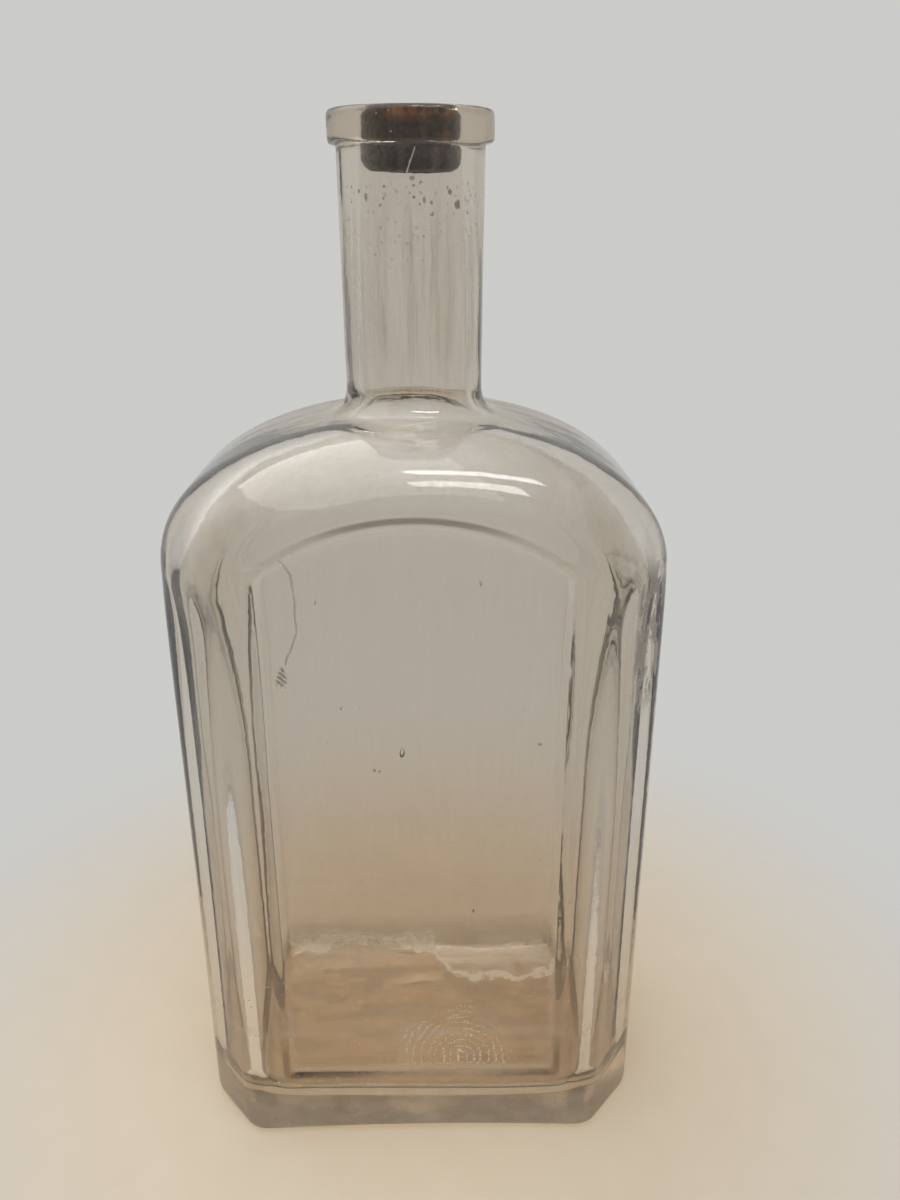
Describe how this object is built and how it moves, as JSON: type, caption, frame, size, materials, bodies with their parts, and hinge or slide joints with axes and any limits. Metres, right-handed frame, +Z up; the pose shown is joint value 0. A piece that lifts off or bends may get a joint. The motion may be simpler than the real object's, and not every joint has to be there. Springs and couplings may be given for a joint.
{
  "type": "glass oil bottle",
  "caption": "Tall flat clear glass oil bottle with bevelled corners, arched shoulder, sunk label panel, straight neck, laid-on lip ring and a short cork",
  "frame": {"origin": "centre of the bottle's footprint, at the height of the table that it stands on", "axes": "+Z up along the neck, -Y out of the front face with the label panel, +X to the viewer's right when the panel faces the viewer"},
  "size_m": [0.147, 0.088, 0.32],
  "materials": {
    "glass": "clear, faint grey-green, slightly wavy",
    "cork": "old oil-soaked cork, matt to greasy"
  },
  "bodies": {
    "bottle": {"bottle_glass": "glass", "lip_ring": "glass"},
    "cork": {"cork": "cork"}
  },
  "joints": [
    {"name": "cork_pull", "type": "slide", "parent": "bottle", "child": "cork", "axis": [0, 0, 1], "range_m": [0, 0.05]}
  ]
}
